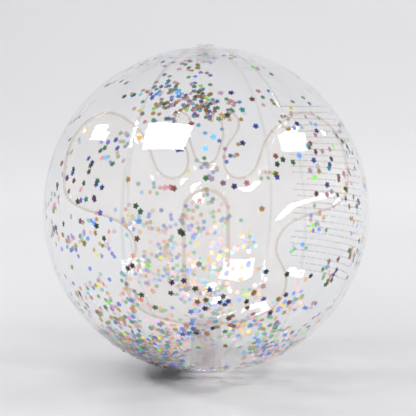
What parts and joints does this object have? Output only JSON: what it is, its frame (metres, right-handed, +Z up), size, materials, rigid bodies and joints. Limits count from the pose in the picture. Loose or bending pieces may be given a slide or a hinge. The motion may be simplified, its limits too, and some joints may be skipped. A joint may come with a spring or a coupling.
{
  "type": "inflatable beach ball",
  "caption": "Clear inflatable ball with loose star glitter and a second air chamber inside, a flat winged figure on a soft neck, with a push-in valve at each pole.",
  "frame": {"origin": "centre of the flat patch at the bottom pole that the ball rests on", "axes": "+Z up through the poles and both valves, +X to the ball's right with the winged figure facing -Y"},
  "size_m": [0.3504, 0.35, 0.3514],
  "materials": {
    "clear_film": "clear glossy PVC film",
    "figure_film": "faintly milky glossy PVC film",
    "valve_vinyl": "soft translucent moulded vinyl",
    "foil_navy": "holographic foil flake",
    "foil_green": "holographic foil flake",
    "foil_gold": "holographic foil flake",
    "foil_maroon": "holographic foil flake",
    "foil_mauve": "holographic foil flake",
    "foil_teal": "holographic foil flake",
    "foil_violet": "holographic foil flake",
    "foil_silver": "holographic foil flake",
    "foil_pink": "holographic foil flake",
    "foil_azure": "holographic foil flake"
  },
  "bodies": {
    "ball": {"gore_panel_1": "clear_film", "gore_panel_2": "clear_film", "gore_panel_3": "clear_film", "gore_panel_4": "clear_film", "gore_panel_5": "clear_film", "gore_panel_6": "clear_film", "top_cap": "clear_film", "bottom_cap": "clear_film", "ball_valve_flange": "valve_vinyl", "ball_valve_skirt": "valve_vinyl", "figure_valve_flange": "valve_vinyl", "figure_valve_skirt": "valve_vinyl", "figure_neck": "figure_film", "glitter_navy": "foil_navy", "glitter_green": "foil_green", "glitter_gold": "foil_gold", "glitter_maroon": "foil_maroon", "glitter_mauve": "foil_mauve", "glitter_teal": "foil_teal", "glitter_violet": "foil_violet", "glitter_silver": "foil_silver", "glitter_pink": "foil_pink", "glitter_azure": "foil_azure"},
    "figure": {"figure_front_sheet": "figure_film", "figure_back_sheet": "figure_film"},
    "ball_valve_stem_body": {"ball_valve_stem": "valve_vinyl", "ball_valve_strap": "valve_vinyl"},
    "ball_valve_plug_body": {"ball_valve_plug": "valve_vinyl"},
    "ball_valve_flap_body": {"ball_valve_flap": "valve_vinyl"},
    "figure_valve_stem_body": {"figure_valve_stem": "valve_vinyl", "figure_valve_strap": "valve_vinyl"},
    "figure_valve_plug_body": {"figure_valve_plug": "valve_vinyl"},
    "figure_valve_flap_body": {"figure_valve_flap": "valve_vinyl"}
  },
  "joints": [
    {"name": "ball_valve_stem_pop_out", "type": "slide", "parent": "ball", "child": "ball_valve_stem_body", "axis": [0, 0, 1], "range_m": [0, 0.0115], "deforming": ["ball_valve_skirt"]},
    {"name": "ball_valve_plug_pull", "type": "slide", "parent": "ball_valve_stem_body", "child": "ball_valve_plug_body", "axis": [0, 0, 1], "range_m": [0, 0.01], "deforming": ["ball_valve_strap"]},
    {"name": "ball_valve_flap_open", "type": "hinge", "parent": "ball_valve_stem_body", "child": "ball_valve_flap_body", "pos_m": [0.0062, 0, 0.33269], "axis": [0, -1, 0], "range_deg": [0, 40], "stiffness_Nm_per_rad": 0.001},
    {"name": "figure_valve_stem_pop_out", "type": "slide", "parent": "ball", "child": "figure_valve_stem_body", "axis": [0, 0, -1], "range_m": [0, 0.015], "deforming": ["figure_valve_skirt"]},
    {"name": "figure_valve_plug_pull", "type": "slide", "parent": "figure_valve_stem_body", "child": "figure_valve_plug_body", "axis": [0, 0, -1], "range_m": [0, 0.01], "deforming": ["figure_valve_strap"]},
    {"name": "figure_valve_flap_open", "type": "hinge", "parent": "figure_valve_stem_body", "child": "figure_valve_flap_body", "pos_m": [0.0062, 0, 0.0197], "axis": [0, 1, 0], "range_deg": [0, 40], "stiffness_Nm_per_rad": 0.001},
    {"name": "figure_sway", "type": "hinge", "parent": "ball", "child": "figure", "pos_m": [0, 0, 0.024], "axis": [1, 0, 0], "range_deg": [-4, 4], "stiffness_Nm_per_rad": 0.6, "deforming": ["figure_neck"]}
  ]
}
